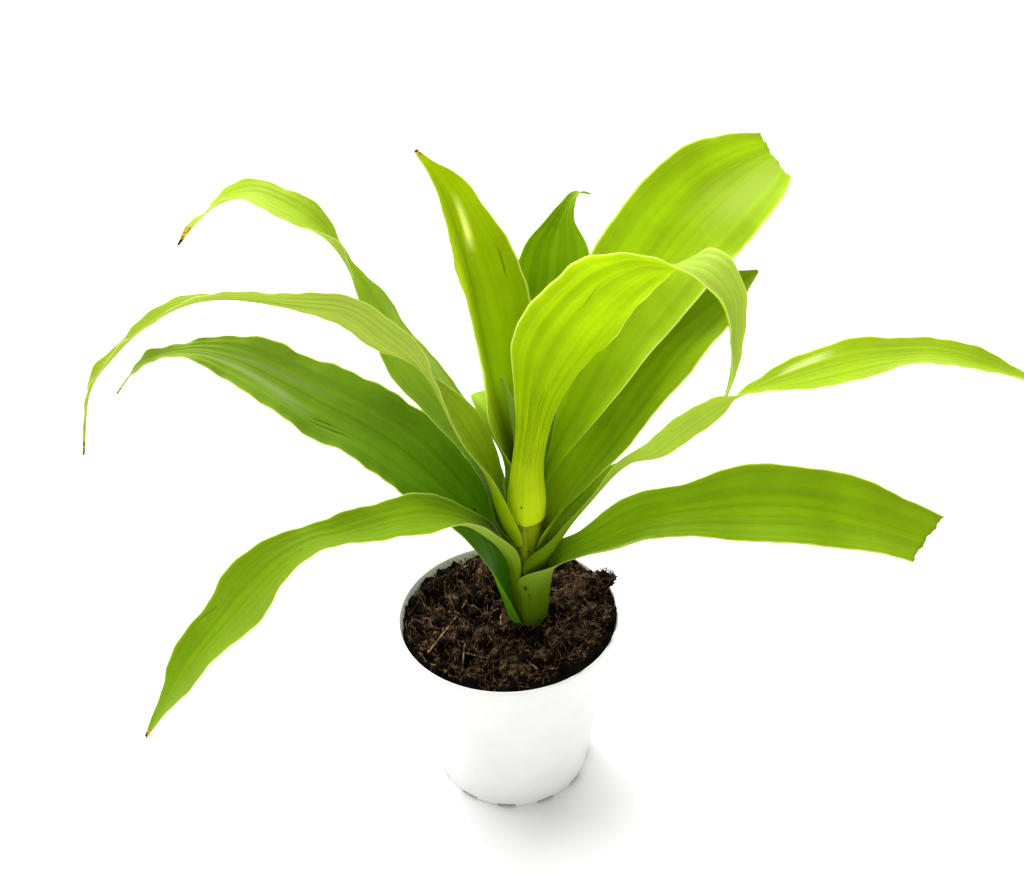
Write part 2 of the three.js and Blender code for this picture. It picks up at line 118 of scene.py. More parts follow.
# Every leaf, oldest and lowest first. Slot names a finish that nothing in the script reads, and heading is its
# compass in degrees, 0 along +X and 90 along +Y. Greens run from the sheath over the middle to the tip. Crease
# is how steeply its halves fold.
# A mark is a scratch, speck or pale streak; most pale streaks are painted sheen and painted highlights.
# It runs from one place to another, each given across and along the blade, and then has its half width
# across the blade and its colour.
# A station along the midrib gives: reach out from the stem's axis, height above the table, drift to the left,
# half the blade's width measured over its surface, roll (positive lifts its left half), and curl, the half
# angle of the arc that its section follows.
LEAVES = {
    "leaf_left_broad": {
        "slot": "old_leaf", "heading": 176, "wave": 1.6, "wave_length": 42, "phase": 0.4,
        "greens": ("#5ea202", "#609402", "#90b034"), "pleats": 0.2, "withered": 0.008, "sheen_and_pale_underside": (0.0, 0.35),
        "glow": 0.3, "frill": 2.6, "rib": 0.35,
        "marks": [
            (0.25, 0.53, 0.2, 0.6, 0.012, "#4a4410"),
            (0.29, 0.56, 0.26, 0.6, 0.009, "#4a4410"),
            (0.63, 0.25, 0.63, 0.256, 0.02, "#1c1c08"),
            # The two pale streaks are painted sheen, glare on the outer blade.
            (0.3, 0.62, 0.42, 0.8, 0.1, "#a8bc78"),
            (0.62, 0.6, 0.58, 0.78, 0.06, "#98b060"),
        ],
        "stations": [
            (8.4, 88, 0, 11, 0, 75), (10.3, 96, 0, 11.4, 0, 60), (13.6, 110, 0, 12.8, -6, 54),
            (16.6, 126, 0, 13, -18, 46), (25, 147, 0, 14, -28, 34), (36, 163, 0, 16, -34, 24),
            (52, 181, 0, 18.5, -35, 22), (67, 193, 0, 17.5, -35, 18), (83, 203, 0, 16.5, -35, 18),
            (98, 213, 0, 14.5, -35, 18), (113, 222, 0, 11, -35, 18), (129, 227, 0, 6, -30, 18),
            (146, 225, 0, 3, -20, 20), (158, 218, 0, 2.4, 0, 25), (167, 208, 0, 0.8, 0, 25),
        ],
    },
    "leaf_right_cut": {
        "slot": "mid_leaf", "heading": -8, "wave": 1.4, "wave_length": 46, "phase": 2, "cut": -0.06,
        "greens": ("#607e08", "#86b002", "#8cb002"), "pleats": 0.12, "sheen_and_pale_underside": (0.02, 0.6), "glow": 0.35,
        "marks": [
            (0.9, 0.128, 0.91, 0.14, 0.03, "#3c2c14"),
            (0.88, 0.11, 0.87, 0.116, 0.015, "#241a0c"),
            (0.85, 0.1, 0.86, 0.104, 0.012, "#241a0c"),
            (0.7, 0.03, 0.74, 0.036, 0.03, "#3c3414"),
            (0.97, 0.22, 0.97, 0.42, 0.06, "#ccd890"),
        ],
        "stations": [
            (7, 86, 0, 13.4, 0, 110), (7.8, 95, 0, 15, 0, 110), (8.5, 105, 0, 16.3, 0, 110),
            (9.9, 115, 0, 19, 0, 110), (12, 121, 0, 15.5, 2, 74), (16, 126, 0, 8, 14, 48),
            (24, 131.5, 0, 6.5, 30, 36), (34, 138, 0, 8.5, 35, 28), (49, 147, 0, 11, 35, 22),
            (71, 153, 0, 12.5, 35, 18), (96, 157, 0, 17.5, 35, 14), (118, 157, 0, 17, 35, 14),
            (143, 152, 0, 15.5, 33, 14), (173, 142, 0, 12, 30, 14),
        ],
    },
    "leaf_front_left": {
        "slot": "mid_leaf", "heading": 207, "wave": 1.4, "phase": 1, "clear": 0.4,
        "greens": ("#788c06", "#86ac02", "#80aa02"), "pleats": 0.14, "withered": 0.006, "sheen_and_pale_underside": (0.04, 0.6),
        "glow": 0.35,
        "marks": [
            (0.82, 0.755, 0.93, 0.79, 0.012, "#5c5c10"),
            (0.49, 0.59, 0.5, 0.594, 0.015, "#3c4408"),
            (0.2, 0.55, 0.22, 0.95, 0.3, "#90ac30"),
        ],
        "stations": [
            (7.1, 91, 0, 3.5, 0, 28), (7.6, 104, 0, 4, 0, 30), (8.2, 116, 0, 5.2, 0, 36),
            (9.4, 124, 0, 6.9, 0, 42), (11.6, 130, 0, 9.2, 0, 45), (15, 136.5, 0, 10.8, 0, 49),
            (20, 143.5, 0, 10.4, 0, 48), (30, 154, 0, 10, 0, 42), (45, 162, 0, 11, -10, 30),
            (57, 165, 0, 11, -15, 24), (70, 166, 0, 10.5, -15, 24), (83, 167, 0, 9, 0, 30),
            (95, 168, 0, 10, 0, 34), (108, 163, 0, 13, -10, 30), (122, 153, 0, 14, -15, 24),
            (133, 144, 0, 12.5, -15, 24), (145, 134, 0, 10, -15, 24), (157, 121, 0, 7, -10, 30),
            (172, 103, 0, 0.8, 0, 30),
        ],
    },
    "leaf_right_long": {
        "slot": "mid_leaf", "heading": -2, "wave": 0.8, "wave_length": 44, "phase": 0,
        "greens": ("#6c8a0c", "#a8cc0c", "#9cbc04"), "pleats": 0.12, "withered": 0.006, "sheen_and_pale_underside": (0.16, 0.65),
        "glow": 0.5,
        "marks": [
            # A painted highlight, a glint on the blade, and a painted sheen on its outer part.
            (0.25, 0.56, 0.2, 0.64, 0.1, "#e4ecc8"),
            (0.85, 0.7, 0.85, 0.95, 0.2, "#b4cc60"),
        ],
        "stations": [
            (7.9, 117.5, 0, 14.5, 0, 105), (9.2, 124, 0, 16.4, 0, 102), (11.6, 130, 0, 16.4, 0, 82),
            (15.5, 137, 0, 13, 0, 64), (21, 146, 0, 10.5, 0, 60), (31, 160, 0, 8, 0, 55),
            (42, 172, 0, 6, -36, 40), (54, 178, 0, 6.5, -75, 20), (68, 190, 0, 6.5, -85, 18),
            (80, 200, 0, 5, -70, 18), (88, 205, 0, 4, -32, 20), (102, 210, 0, 7, 15, 20),
            (117, 215, 0, 9.5, 25, 18), (132, 219, 0, 9.5, 25, 18), (147, 221, 0, 8, 20, 22),
            (163, 221, 0, 8, 15, 30), (179, 217, 0, 6.5, 15, 30), (198, 210, 0, 3.5, 10, 30),
            (208, 204, 0, 0.8, 10, 30),
        ],
    },
    "leaf_left_arching": {
        "slot": "old_leaf", "heading": 158, "greens": ("#6c9804", "#7eac0a", "#bcdc1c"), "pleats": 0.16,
        "withered": 0.022, "sheen_and_pale_underside": (0.2, 0.6), "glow": 0.35,
        # The pale streak is painted sheen, glare on the rising right half.
        "marks": [(0.86, 0.12, 0.86, 0.5, 0.16, "#b8d080")],
        "stations": [
            (7.9, 126, 0, 13.1, 0, 95), (9.6, 133.5, 0, 13.4, 0, 77), (14.6, 146, 0, 10.5, 0, 48),
            (18, 162, 0, 9.5, 0, 44), (26, 180, 0, 10, -12, 40), (41, 199, 0, 10.5, -25, 34),
            (55, 217, 0, 10, -28, 30), (66, 237, 0, 7.5, -15, 34), (76, 257, 0, 4.5, 25, 50),
            (86, 268, 0, 6.5, -5, 34), (99, 275, 0, 8.5, -12, 24), (114, 279, 0, 8.5, -12, 22),
            (130, 274, 0, 6.5, -8, 24), (145, 263, 0, 3.5, 0, 25), (155, 253, 0, 0.8, 0, 25),
        ],
    },
    "leaf_back_right": {
        "slot": "old_leaf", "heading": 22, "wave": 1.6, "wave_length": 38, "phase": 1.2,
        "greens": ("#90b004", "#8cb002", "#88a80a"), "pleats": 0.16, "glow": 0.3,
        "stations": [
            (7.9, 131.5, 0, 12.1, 0, 88), (9.8, 139, 0, 13.6, 0, 76), (14, 148.5, 0, 13, 5, 60),
            (20, 158, 0, 13.5, 14, 50), (35, 178, 0, 16, 26, 34), (53, 202, 0, 18.5, 28, 22),
            (66, 216, 0, 18.5, 28, 20), (82, 226, 0, 15, 28, 18), (94, 233, 0, 9, 25, 18),
            (108, 239, 0, 0.8, 20, 18),
        ],
    },
    "leaf_left_thin": {
        "slot": "mid_leaf", "heading": 190, "wave": 0.6, "phase": 2.2,
        "greens": ("#accc04", "#9cb80c", "#a4c41c"), "pleats": 0.2, "withered": 0.01, "sheen_and_pale_underside": (0.2, 0.65),
        "stations": [
            (8, 134.5, 0, 9.2, 0, 66), (10, 142, 0, 11.4, 0, 62), (12.6, 152, 0, 11.3, 0, 56),
            (17.4, 174, 0, 11, -16, 52), (26, 194, 0, 11, -30, 50), (33, 209, 0, 7, -18, 44),
            (38, 220, 0, 4.6, 14, 40), (44, 229, 0, 6, 52, 30), (54, 239, 0, 8, 75, 20),
            (66, 251, 0, 7, 75, 18), (82, 256, 0, 6, 60, 18), (105, 262, 0, 5.5, 35, 20),
            (122, 262, 0, 5.5, 10, 20), (137, 256, 0, 5, 0, 20), (151, 245, 0, 4.5, 0, 20),
            (163, 231, 0, 3.4, 0, 20), (171, 205, 0, 0.8, 0, 20),
        ],
    },
    "leaf_back_short": {
        "slot": "mid_leaf", "heading": 105, "wave": 1, "wave_length": 30, "phase": 0,
        "greens": ("#94b820", "#98bc24", "#a4c82c"), "pleats": 0.2, "sheen_and_pale_underside": (0.1, 0.4),
        "stations": [
            (8, 141, 0, 14.7, 0, 105), (9.8, 148, 0, 8.6, 0, 49), (11, 158, 0, 7, 0, 36),
            (13.8, 171, 1, 6.4, 0, 34), (18, 181, 4, 7, 0, 30), (24, 188, 8, 7, 0, 26),
            (30, 191, 11, 5, 0, 26), (34, 191, 13, 0.8, 0, 26),
        ],
    },
    "leaf_front_arching": {
        "slot": "young_leaf", "heading": -35, "wave": 0.8, "greens": ("#dcf01c", "#b4d602", "#b4d41c"),
        "pleats": 0.6, "sheen_and_pale_underside": (0.65, 0.0), "glow": 0.5,
        "marks": [
            (0.64, 0.53, 0.69, 0.585, 0.006, "#88a00c"),
            (0.6, 0.045, 0.6, 0.05, 0.03, "#1c1c08"),
        ],
        "stations": [
            (4.4, 147, -6.3, 14, -55, 104), (4.9, 158, -7, 10.4, -55, 70), (6.6, 178, -7.6, 7.4, -52, 50),
            (9.6, 198, -6.2, 8.2, -46, 46), (13.5, 214, -5.4, 12.6, -42, 40), (20, 230, -3, 20, -40, 32),
            (30, 247, 0, 22, -40, 26), (41, 260.5, 3, 21, -36, 22), (52, 270, 3, 18.6, -30, 20),
            (63, 274.5, 3, 15.5, -18, 20), (74, 274.5, 2.5, 13, -5, 22), (83, 267.5, 2, 10, 0, 24),
            (87, 255, 0.5, 4.6, 0, 36), (87.5, 242, 0, 2.3, 0, 40), (86, 231, 0, 0.8, 0, 40),
        ],
    },
    "leaf_upright_cut": {
        "slot": "young_leaf", "heading": 35, "wave_length": 52, "cut": -0.03,
        "greens": ("#a0c800", "#aacc00", "#a8cc02"), "sheen_and_pale_underside": (0.04, 0.3),
        # The pale streak near the tip is painted sheen.
        "marks": [(0.6, 0.76, 0.7, 1.02, 0.3, "#b4cc58")],
        "stations": [
            (6.4, 154, 0, 9, 0, 80), (7.4, 161, 0, 6.5, 0, 48), (13.6, 174, 0, 10.2, 8, 38),
            (24, 190, 0, 14, 22, 36), (36, 206, 1, 18.5, 30, 30), (50, 222, 2.5, 22, 30, 24),
            (66, 237, 2.5, 24.5, 30, 20), (84, 252, 2.5, 26, 30, 18), (104, 264, 2, 25, 30, 15),
            (123, 272, 1, 20, 30, 12), (138, 277, 0, 11, 30, 12),
        ],
    },
    "leaf_back": {
        "slot": "old_leaf", "heading": 68, "greens": ("#7caa02", "#84b000", "#84ac02"), "pleats": 0.25,
        "glow": 0.3,
        "stations": [
            (5.5, 160.5, 0, 10.7, 0, 112), (7.4, 168.5, 0, 7.8, 0, 60), (12, 182, 0, 9.6, 0, 44),
            (19, 205, -1, 11, 0, 30), (26, 224, -3, 15, 0, 28), (31, 242, -4, 17.5, 0, 26),
            (34.5, 256, -4, 14.5, 0, 24), (40, 267, -4, 5, 0, 24), (49, 274, -6, 2, 0, 24),
            (56, 272.5, -10, 0.8, 0, 24),
        ],
    },
    "leaf_upright_left": {
        "slot": "young_leaf", "heading": 140, "wave": 0.8, "greens": ("#5c7400", "#9cbc00", "#acc800"),
        "withered": 0.008, "crease": 0.55,
        "marks": [
            # A painted highlight, a glossy glint on the blade; below it a painted strip of light down the left
            # half, which faces the light.
            (0.6, 0.7, 0.68, 0.84, 0.07, "#f0f8b8"),
            (0.1, 0.04, 0.1, 0.85, 0.36, "#e8fc48"),
            (0.84, 0.6, 0.87, 0.68, 0.008, "#705808"),
        ],
        "stations": [
            (3.4, 165, 0, 6.3, 0, 106), (5.4, 172, 0, 10, 0, 84), (9.4, 188, 0.5, 14.4, -3, 58),
            (16, 210, 0.5, 17.2, -4, 46), (23, 235, -1.5, 17.2, -5, 34), (29, 254, -3, 15.4, -6, 30),
            (33, 269, -2, 12.6, -8, 30), (37, 282, -1, 8, -8, 32), (43, 292, 0, 3.2, -8, 40),
            (50, 298, 0, 0.8, -8, 40),
        ],
    },
    "leaf_young": {
        "slot": "old_leaf", "heading": 195, "wave": 0, "phase": 0,
        "greens": ("#6e9c04", "#74a404", "#78a808"), "sheen_and_pale_underside": (0.0, 0.2), "glow": 0.3,
        "stations": [
            (2.5, 170, 0, 4.7, 0, 108), (3.3, 178, 0, 5, 0, 80), (4.6, 190, 0, 5.5, 0, 56),
            (6.6, 205, 0, 4, 0, 50), (9, 217, 0, 0.8, 0, 50),
        ],
    },
}


def size(name, description, millimetres):
    """A length that a user can change, given in millimetres."""
    return FloatProperty(
        name=name, description=description, default=millimetres * MM, unit="LENGTH", subtype="DISTANCE",
        precision=5,
    )


def srgb(code):
    """The linear colour of an sRGB hex code, with full alpha."""
    channels = [int(code[i : i + 2], 16) / 255 for i in (1, 3, 5)]
    return [c / 12.92 if c <= 0.04045 else ((c + 0.055) / 1.055) ** 2.4 for c in channels] + [1.0]


def dimmed(shade, share):
    """A linear colour at a share of its brightness."""
    return [c * share for c in shade[:3]] + [1]


def colour(name, description, code):
    """A colour that a user can change, given as an sRGB hex code."""
    return FloatVectorProperty(
        name=name, description=description, default=srgb(code), size=4, subtype="COLOR", min=0, max=1
    )


class PotSettings(PropertyGroup):
    height: size("Height", "From the foot to the top of the rim", POT_HIGH.z / MM)
    rim_radius: size("Rim radius", "Outside of the rolled rim", POT_HIGH.x / MM)
    mouth_radius: size("Mouth radius", "Inside of the wall at the mouth", MOUTH)
    foot_radius: size("Foot radius", "Outside of the foot", 36.5)
    wall: size("Wall", "Thickness of the wall", 1.2)
    floor: size("Floor", "Thickness of the floor", 1.5)
    rim_drop: size("Rim height", "Height of the rolled rim", 3)
    slot_width: size("Slot width", "Width of a drainage slot along the foot", 8.5)
    slot_height: size("Slot height", "Height of a drainage slot", 1.9)
    slot_depth: size("Slot depth", "How far a drainage slot runs in under the peat", 5)
    slots: IntProperty(name="Slots", description="Drainage slots round the foot", default=12, min=3)
    plastic: colour("Plastic", "Colour of the pot", "#f1f1ee")


class SoilSettings(PropertyGroup):
    surface: size("Level", "Mean height of the peat", 86)
    bottom: size("Bottom", "Underside of the peat", 2.6)
    heap_rise: size("Heap", "How much higher the peat is at the heaped side than in the middle", 5)
    heap_azimuth: FloatProperty(
        name="Heaped side", description="Compass of the heaped side", default=radians(-15), subtype="ANGLE"
    )
    mound: size("Mound", "How far the peat rises round the stem", 3.5)
    hollow: size("Hollow", "Depth of the hollow behind the stem on its left", 9)
    roughness: size("Lumps", "Height of the small lumps in the surface", 5.5)
    crumbs: IntProperty(name="Crumbs", description="Loose crumbs and clods", default=700, min=0)
    tufts: IntProperty(name="Tufts", description="Tangled tufts of peat moss", default=90, min=0)
    fibres: IntProperty(name="Fibres", description="Loose fibres and roots", default=1400, min=0)
    sticks: IntProperty(name="Sticks", description="Straws and splinters", default=22, min=0)
    peat: colour("Peat", "Colour of the moist peat", "#050302")
    dry_peat: colour("Dry peat", "Colour of the drier lumps", "#1c120a")
    fibre: colour("Fibre", "Colour of the fibres", "#a08058")
    root: colour("Roots", "Colour of the loose roots", "#b88c68")
    straw: colour("Straw", "Colour of straws", "#d0b078")


class LeafSettings(PropertyGroup):
    blade: size("Blade", "Thickness of a blade at its middle", 0.6)
    midrib: size("Midrib", "Thickness at the root of the midrib", 1.2)
    crease: FloatProperty(name="Crease", description="How steeply the halves fold up", default=0.1, min=0)
    frill: size("Frill", "Height of the small waves at the margins", 0.5)
    column: size("Column", "Width of a facet across a blade", 0.7)
    row: size("Row", "Length of a facet along a blade", 1.8)
    # Pale colour laid over the blades: a painted sheen on the upper faces, and the lower faces' own paler
    # colour.
    pale: colour("Bloom", "Bloom on the pale faces", "#b8cc60")
    # Colour of a painted glow at the margins, where light comes through the thin edge.
    margin: colour("Margin", "Thin margin that lets light through", "#ecf888")
    dry: colour("Dead tip", "Dead tissue at the tip", "#2c2018")


class StageSettings(PropertyGroup):
    reach: size("Floor size", "Half the floor's side", 6000)
    target: size("Aim", "Height of the point that the camera looks at", 185.6)
    aim_right: size("Aim right", "How far that point lies to the right of the pot's axis", 4.8)
    distance: size("Distance", "From that point to the camera", 454)
    pitch: FloatProperty(
        name="Pitch", description="How far the camera looks down", default=radians(32.4), subtype="ANGLE"
    )
    roll: FloatProperty(name="Roll", description="Camera's tilt", default=radians(-2.1), subtype="ANGLE")
    lens: FloatProperty(name="Lens", description="Focal length in millimetres", default=38.5)
    paper: colour("Floor colour", "Pale studio floor", "#f4f4f4")


# ---- Small tools ----
def new_object(name, bm, materials):
    """Turns a bmesh into a smooth piece of the plant that rides on its one body."""
    for face in bm.faces:
        face.smooth = True
    mesh = bpy.data.meshes.new(name)
    bm.to_mesh(mesh)
    bm.free()
    piece = bpy.data.objects.new(name, mesh)
    bpy.context.scene.collection.objects.link(piece)
    for material in materials:
        mesh.materials.append(material)
    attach(piece, "root")
    return piece


def new_material(name):
    """An empty material, its node tree and the socket for its surface."""
    material = bpy.data.materials.new(name)
    material.use_nodes = True
    tree = material.node_tree
    tree.nodes.clear()
    output = tree.nodes.new("ShaderNodeOutputMaterial")
    return material, tree, output.inputs["Surface"]


def add(tree, kind, inputs=None, stops=(), **options):
    """Adds a node with its options, its inputs' values or links, and a colour ramp's stops."""
    node = tree.nodes.new("ShaderNode" + kind)
    for name, value in options.items():
        setattr(node, name, value)
    for i, (place, shade) in enumerate(stops):
        element = node.color_ramp.elements[i] if i < 2 else node.color_ramp.elements.new(place)
        element.position = place
        element.color = shade
    for key, value in (inputs or {}).items():
        if isinstance(value, bpy.types.Node):
            value = value.outputs[0]
        if isinstance(value, bpy.types.NodeSocket):
            tree.links.new(value, node.inputs[key])
        else:
            node.inputs[key].default_value = value
    return node


def curve(stations, t):
    """Points on the smooth curve through the stations at shares t of its run, and the curve's slope there."""
    last = len(stations) - 1
    first = 2 * stations[0] - stations[1]
    after = 2 * stations[-1] - stations[-2]
    knots = np.vstack([first, stations, after])
    place = np.clip(t, 0, 1) * last
    i = np.minimum(place.astype(int), last - 1)
    w = (place - i)[:, None]
    a, b, c, d = (knots[i + k] for k in range(4))
    rise = c - a
    bend = 2 * a - 5 * b + 4 * c - d
    twist = 3 * b - a - 3 * c + d
    return b + (rise * w + bend * w**2 + twist * w**3) / 2, (rise + 2 * bend * w + 3 * twist * w**2) / 2


def unit(vectors):
    """Rows of vectors, each scaled to length 1."""
    return vectors / np.linalg.norm(vectors, axis=1)[:, None]


def polar(azimuth, out):
    """The place at a compass and a distance from the pot's axis."""
    return out * cos(azimuth), out * sin(azimuth)


def apart(x, y, place):
    """How far a point lies from a place."""
    return hypot(x - place[0], y - place[1])


def smooth(low, high, x):
    """Rises from 0 at low to 1 at high."""
    x = np.clip((x - low) / (high - low), 0, 1)
    return x * x * (3 - 2 * x)


# ---- Pot ----
def wall_radius(pot, height):
    """Inside of the pot's wall, in millimetres."""
    foot = (pot.foot_radius - pot.wall) / MM
    return foot + (pot.mouth_radius / MM - foot) * height / (pot.height / MM)


def spun(bm, outline, azimuth, angle, steps, closed=False):
    """Sweeps an outline of radius and height about the pot's axis, from an azimuth through an angle."""
    verts = [bm.verts.new((*polar(azimuth, r * MM), z * MM)) for r, z in outline]
    ends = verts[1:] + verts[:1] if closed else verts[1:]
    edges = [bm.edges.new(pair) for pair in zip(verts, ends)]
    bmesh.ops.spin(
        bm, geom=verts + edges, cent=(0, 0, 0), axis=(0, 0, 1), angle=angle, steps=steps, use_merge=False
    )


def arc(centre, radius, start, end, steps):
    """Points on an arc of an outline, from one angle to another in degrees."""
    angles = [radians(start + (end - start) * i / steps) for i in range(steps + 1)]
    return [(centre[0] + radius * cos(a), centre[1] + radius * sin(a)) for a in angles]


class DRACAENA_OT_pot(Operator):
    """Thin white nursery pot with a rolled rim and drainage slots round its foot"""

    bl_idname = "dracaena.pot"
    bl_label = "Pot"

    def execute(self, context):
        pot = context.scene.dracaena_pot
        height, rim, drop = pot.height / MM, pot.rim_radius / MM, pot.rim_drop / MM
        mouth, foot, floor, wall = pot.mouth_radius / MM, pot.foot_radius / MM, pot.floor / MM, pot.wall / MM
        slot_top, slot_in = pot.slot_height / MM, (pot.foot_radius - pot.slot_depth) / MM
        under = height - drop
        roll = (rim - mouth) / 2
        lip, edge = 0.6, 0.5
        # The wall above the slots, ring by ring: up the outside, over the rolled rim and down the inside.
        rings = (4, 20, 40, 60, 75)
        upper = [(wall_radius(pot, z) + wall, z) for z in (slot_top, *rings, under - 0.4)]
        upper += arc((rim - lip, under + lip), lip, -70, 0, 4)
        upper += arc(((rim + mouth) / 2, height - roll), roll, 0, 180, 10)
        upper += [(wall_radius(pot, z), z) for z in (under - 1, *rings[::-1], slot_top)]
        heel = arc((foot - edge, edge), edge, -90, 0, 4)
        inner = [(wall_radius(pot, floor), floor), (slot_in, floor)]
        web = [(0, 0), (slot_in, 0)] + heel + upper + inner + [(0, floor)]
        pad = [(0, 0), (slot_in, 0), (slot_in, floor), (0, floor)]
        side = [(slot_in, 0)] + heel + [upper[0], upper[-1]] + inner
        bm = bmesh.new()
        pitch = tau / pot.slots
        opening = 2 * np.arcsin(pot.slot_width / 2 / pot.foot_radius)
        for i in range(pot.slots):
            start = i * pitch
            spun(bm, web, start, pitch - opening, 8)
            spun(bm, pad, start - opening, opening, 6)
            spun(bm, upper, start - opening, opening, 6, closed=True)
            for azimuth in (start, start + pitch - opening):
                bm.faces.new([bm.verts.new((*polar(azimuth, r * MM), z * MM)) for r, z in side])
        bmesh.ops.remove_doubles(bm, verts=bm.verts, dist=0.01 * MM)
        bmesh.ops.recalc_face_normals(bm, faces=bm.faces)
        piece = new_object("nursery_pot", bm, [polypropylene(pot)])
        piece.data.set_sharp_from_angle(angle=radians(40))
        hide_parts("pot")
        return {"FINISHED"}


def polypropylene(pot):
    """Injection-moulded white polypropylene: a soft sheen, faint flow marks, and peat dust inside."""
    material, tree, surface = new_material("white_polypropylene")
    place = add(tree, "TexCoord").outputs["Object"]
    flow = add(tree, "TexNoise", {"Vector": place, "Scale": 60, "Detail": 3})
    grain = add(tree, "TexNoise", {"Vector": place, "Scale": 2500, "Detail": 2})
    shade = add(tree, "ValToRGB", {"Fac": flow}, stops=[(0.3, dimmed(pot.plastic, 0.95)), (0.7, pot.plastic)])
    # Peat dust just above the peat, on what lies nearer to the pot's axis than the middle of its wall.
    split = add(tree, "SeparateXYZ", {"Vector": place})
    flat = add(tree, "CombineXYZ", {0: split.outputs["X"], 1: split.outputs["Y"]})
    out = add(tree, "VectorMath", {0: flat}, operation="LENGTH").outputs["Value"]
    lean = (pot.mouth_radius - pot.foot_radius + pot.wall) / pot.height
    middle = pot.foot_radius - pot.wall / 2
    middle = add(tree, "Math", {0: split.outputs["Z"], 1: lean, 2: middle}, operation="MULTIPLY_ADD")
    inside = add(tree, "Math", {0: out, 1: middle}, operation="LESS_THAN")
    fading = {"From Min": 85 * MM, "From Max": 90 * MM, "To Min": 0.5, "To Max": 0.66}
    low = add(tree, "MapRange", {"Value": split.outputs["Z"], **fading})
    dust = add(tree, "TexNoise", {"Vector": place, "Scale": 900, "Detail": 4, "Roughness": 0.7})
    dust = add(tree, "Math", {0: dust, 1: low}, operation="SUBTRACT")
    dust = add(tree, "MapRange", {"Value": dust, "From Min": 0, "From Max": 0.04})
    dust = add(tree, "Math", {0: dust, 1: inside}, operation="MULTIPLY")
    shade = add(tree, "MixRGB", {"Fac": dust, "Color1": shade, "Color2": srgb("#3c2e20")})
    bump = add(tree, "Bump", {"Strength": 0.15, "Distance": 0.1 * MM, "Height": grain})
    shader = add(
        tree, "BsdfPrincipled",
        {"Base Color": shade, "Roughness": 0.35, "IOR": 1.49, "Normal": bump, "Subsurface Weight": 0.15,
         "Subsurface Radius": (1.2 * MM, 1.2 * MM, 1.2 * MM), "Subsurface Scale": 1.0},
    )
    tree.links.new(shader.outputs[0], surface)
    return material


# ---- Peat ----
def peat_height(soil, x, y):
    """Height of the peat at a place, in millimetres: heaped on one side and round the stem, with a hollow."""
    slope = (x * cos(soil.heap_azimuth) + y * sin(soil.heap_azimuth)) / MOUTH
    # Broad lumps, about 20 mm from one to the next, and small ones over them.
    lumps = sin(x * 0.31 + 1.3) * cos(y * 0.27 - 0.4) + 0.6 * sin(x * 0.13 - y * 0.41)
    crumble = noise.fractal(Vector((x * 0.16, y * 0.16, 3)), 0.8, 2.1, 5)
    mound = soil.mound / MM * exp(-(apart(x, y, STEM_AXIS) ** 2) / MOUND_SPREAD)
    hollow = soil.hollow / MM * exp(-(apart(x, y, HOLLOW_PLACE) ** 2) / HOLLOW_SPREAD)
    # A low bank against the wall, away from the heap.
    bank = BANK_RISE * smooth(34, 48, hypot(x, y)) * smooth(-0.2, 0.8, -slope)
    level = (soil.surface + soil.heap_rise * slope) / MM + mound - hollow + bank
    return level + LUMP_RISE * lumps + soil.roughness / MM * crumble


